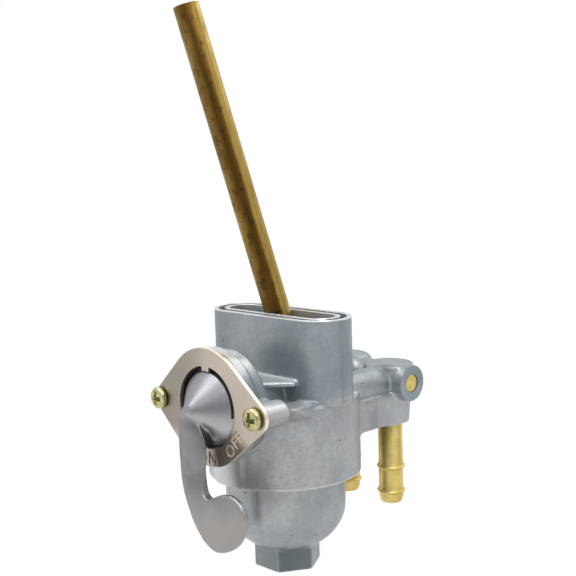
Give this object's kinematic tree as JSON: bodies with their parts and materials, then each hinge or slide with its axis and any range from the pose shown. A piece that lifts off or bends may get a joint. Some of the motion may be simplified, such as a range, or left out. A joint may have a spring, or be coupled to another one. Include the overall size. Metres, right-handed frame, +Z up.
{
  "type": "fuel tap",
  "caption": "Manual fuel tap for a small motorcycle tank: cast body, lever valve on a stamped plate, sediment bowl with hexagon, brass standpipe and hose barbs.",
  "frame": {"origin": "middle of the underside of the bowl's hexagon, on the bowl's axis", "axes": "+Z up along the bowl's axis towards the tank; the valve and its lever face -Y; the oval neck runs along X"},
  "size_m": [0.04, 0.0632, 0.1328],
  "materials": {
    "cast_alloy": "as-cast, light sheen",
    "lever_alloy": "tumbled, satin",
    "plated_steel": "nickel plated, satin",
    "yellow_zinc": "yellow passivated zinc",
    "aged_brass": "tarnished, mottled",
    "bright_brass": "turned, bright",
    "black_rubber": "matt",
    "spring_steel": "plain",
    "strainer_nylon": "moulded",
    "brass_gauze": "woven"
  },
  "bodies": {
    "tap_body": {"body_casting": "cast_alloy", "sediment_bowl": "cast_alloy", "standpipe": "aged_brass", "outlet_barb_near": "bright_brass", "outlet_barb_far": "bright_brass", "passage_plug": "bright_brass", "lever_plate": "plated_steel", "plate_screw_left": "yellow_zinc", "plate_screw_right": "yellow_zinc", "valve_rubber": "black_rubber", "bowl_seal_ring": "black_rubber", "wave_washer": "spring_steel", "strainer_frame": "strainer_nylon", "strainer_screen": "brass_gauze"},
    "lever_body": {"lever": "lever_alloy"}
  },
  "joints": [
    {"name": "lever_turn", "type": "hinge", "parent": "tap_body", "child": "lever_body", "pos_m": [0, -0.022, 0.042], "axis": [0, 1, 0], "range_deg": [-90, 90]}
  ]
}
